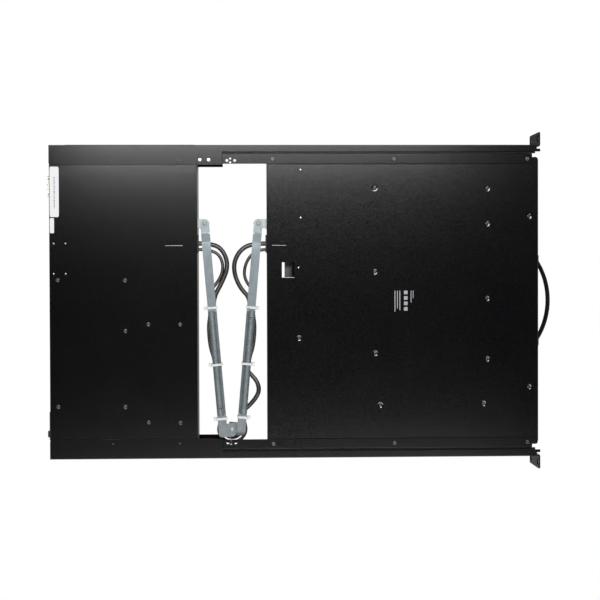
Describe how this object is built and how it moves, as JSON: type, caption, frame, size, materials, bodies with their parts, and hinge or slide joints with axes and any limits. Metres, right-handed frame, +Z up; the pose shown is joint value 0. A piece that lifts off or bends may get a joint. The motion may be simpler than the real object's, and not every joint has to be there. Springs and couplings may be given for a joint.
{
  "type": "rackmount lcd console drawer",
  "caption": "Slim rack console drawer: folded side channels with ears, ball slides, keyboard tray, hinged screen lid with bow handle, folding cable arm and rear switch module.",
  "frame": {"origin": "centre of the four rack slots, on the front face of the rack ears", "axes": "+X to the user's right, +Y into the rack, +Z up; the front faces -Y"},
  "size_m": [0.4826, 0.7271, 0.044],
  "materials": {
    "black_coat": "satin black powder coat with a fine texture",
    "zinc_steel": "bright zinc-plated pressed steel",
    "slide_steel": "rolled slide members with a black zinc finish",
    "ball_steel": "polished balls in a thin cage",
    "rivet_steel": "bright rivet",
    "black_screw": "black oxide screws",
    "hinge_steel": "dark satin friction hinge",
    "lead_black": "soft black lead jacket",
    "tie_white": "natural nylon ties",
    "rubber_black": "black moulded rubber",
    "key_black": "black keycaps",
    "pan_black": "black moulded keyboard pan",
    "touch_grey": "dark grey touch surface",
    "bezel_black": "fine grained black bezel",
    "screen_black": "switched-off display with an anti-glare face",
    "board_green": "green circuit board",
    "shell_nickel": "nickel-plated connector shell",
    "socket_black": "black moulded socket"
  },
  "bodies": {
    "chassis": {"left_side_channel": "black_coat", "right_side_channel": "black_coat", "left_slide_outer": "slide_steel", "right_slide_outer": "slide_steel", "switch_module_tray": "black_coat", "switch_module_cover": "black_coat", "switch_board": "board_green", "power_supply": "board_green", "video_connector": "shell_nickel", "power_inlet": "socket_black", "rear_arm_bracket": "zinc_steel", "rear_grommet": "rubber_black", "chassis_screws": "black_screw", "flange_rivets": "rivet_steel", "left_side_plate": "black_coat", "rear_loop_leads": "lead_black"},
    "power_rocker": {"power_rocker": "socket_black"},
    "slide_middle": {"left_slide_middle": "slide_steel", "right_slide_middle": "slide_steel"},
    "outer_cages": {"outer_ball_cages": "ball_steel"},
    "inner_cages": {"inner_ball_cages": "ball_steel"},
    "drawer": {"left_slide_inner": "slide_steel", "right_slide_inner": "slide_steel", "left_drawer_side": "black_coat", "right_drawer_side": "black_coat", "drawer_tray": "black_coat", "hinge_cross_member": "black_coat", "keyboard_deck": "black_coat", "keyboard_base": "pan_black", "keycaps": "key_black", "touchpad": "touch_grey", "drawer_screws": "black_screw", "front_arm_bracket": "zinc_steel", "front_grommet": "rubber_black", "hinge_brackets": "hinge_steel", "front_loop_leads": "lead_black"},
    "space_bar": {"space_bar": "key_black"},
    "left_touch_button": {"left_touch_button": "touch_grey"},
    "right_touch_button": {"right_touch_button": "touch_grey"},
    "lid": {"lid_cover": "black_coat", "lid_bezel": "bezel_black", "lcd_panel": "screen_black", "display_board": "board_green", "hinge_knuckles": "hinge_steel", "bow_handle": "black_coat", "lid_bumpers": "rubber_black"},
    "osd_button_1": {"osd_button_1": "bezel_black"},
    "osd_button_2": {"osd_button_2": "bezel_black"},
    "osd_button_3": {"osd_button_3": "bezel_black"},
    "osd_button_4": {"osd_button_4": "bezel_black"},
    "left_lid_catch": {"left_lid_catch": "bezel_black"},
    "right_lid_catch": {"right_lid_catch": "bezel_black"},
    "rear_arm": {"rear_arm": "zinc_steel", "elbow_rivet": "rivet_steel", "rear_arm_ties": "tie_white", "rear_arm_leads": "lead_black", "elbow_leads": "lead_black"},
    "front_arm": {"front_arm": "zinc_steel", "front_arm_ties": "tie_white", "front_arm_leads": "lead_black"}
  },
  "joints": [
    {"name": "drawer_slide", "type": "slide", "parent": "chassis", "child": "drawer", "axis": [0, -1, 0], "range_m": [0, 0.4]},
    {"name": "middle_slide", "type": "slide", "parent": "chassis", "child": "slide_middle", "axis": [0, -1, 0], "range_m": [0, 0.2]},
    {"name": "outer_cage_roll", "type": "slide", "parent": "chassis", "child": "outer_cages", "axis": [0, -1, 0], "range_m": [0, 0.1]},
    {"name": "inner_cage_roll", "type": "slide", "parent": "chassis", "child": "inner_cages", "axis": [0, -1, 0], "range_m": [0, 0.3]},
    {"name": "rear_arm_pivot", "type": "hinge", "parent": "chassis", "child": "rear_arm", "pos_m": [-0.1117, 0.4803, -0.0116], "axis": [0, 0, 1], "range_deg": [-46, 0], "deforming": ["rear_loop_leads", "elbow_leads"]},
    {"name": "front_arm_pivot", "type": "hinge", "parent": "drawer", "child": "front_arm", "pos_m": [-0.1117, 0.4036, -0.0116], "axis": [0, 0, 1], "range_deg": [0, 46], "deforming": ["front_loop_leads"]},
    {"name": "lid_hinge", "type": "hinge", "parent": "drawer", "child": "lid", "pos_m": [0, 0.374, 0.01], "axis": [-1, 0, 0], "range_deg": [0, 115]},
    {"name": "space_bar_press", "type": "slide", "parent": "drawer", "child": "space_bar", "axis": [0, 0, -1], "range_m": [0, 0.0024], "stiffness_N_per_m": 250, "springref_m": -0.002},
    {"name": "left_touch_press", "type": "slide", "parent": "drawer", "child": "left_touch_button", "axis": [0, 0, -1], "range_m": [0, 0.0008], "stiffness_N_per_m": 1500, "springref_m": -0.0003},
    {"name": "right_touch_press", "type": "slide", "parent": "drawer", "child": "right_touch_button", "axis": [0, 0, -1], "range_m": [0, 0.0008], "stiffness_N_per_m": 1500, "springref_m": -0.0003},
    {"name": "osd_press_1", "type": "slide", "parent": "lid", "child": "osd_button_1", "axis": [0, 0, 1], "range_m": [0, 0.0005], "stiffness_N_per_m": 3000, "springref_m": -0.0002},
    {"name": "osd_press_2", "type": "slide", "parent": "lid", "child": "osd_button_2", "axis": [0, 0, 1], "range_m": [0, 0.0005], "stiffness_N_per_m": 3000, "springref_m": -0.0002},
    {"name": "osd_press_3", "type": "slide", "parent": "lid", "child": "osd_button_3", "axis": [0, 0, 1], "range_m": [0, 0.0005], "stiffness_N_per_m": 3000, "springref_m": -0.0002},
    {"name": "osd_press_4", "type": "slide", "parent": "lid", "child": "osd_button_4", "axis": [0, 0, 1], "range_m": [0, 0.0005], "stiffness_N_per_m": 3000, "springref_m": -0.0002},
    {"name": "left_catch_slide", "type": "slide", "parent": "lid", "child": "left_lid_catch", "axis": [1, 0, 0], "range_m": [0, 0.005], "stiffness_N_per_m": 300, "springref_m": -0.002},
    {"name": "right_catch_slide", "type": "slide", "parent": "lid", "child": "right_lid_catch", "axis": [-1, 0, 0], "range_m": [0, 0.005], "stiffness_N_per_m": 300, "springref_m": -0.002},
    {"name": "rocker_tilt", "type": "hinge", "parent": "chassis", "child": "power_rocker", "pos_m": [0.1893, 0.6944, 0], "axis": [-1, 0, 0], "range_deg": [0, 16]}
  ],
  "couplings": [
    {"joint": "middle_slide", "follows": "drawer_slide", "ratio": 0.5},
    {"joint": "outer_cage_roll", "follows": "drawer_slide", "ratio": 0.25},
    {"joint": "inner_cage_roll", "follows": "drawer_slide", "ratio": 0.75},
    {"joint": "rear_arm_pivot", "follows": "drawer_slide", "rad_per_m": -2.0012},
    {"joint": "front_arm_pivot", "follows": "drawer_slide", "rad_per_m": 2.0012}
  ]
}
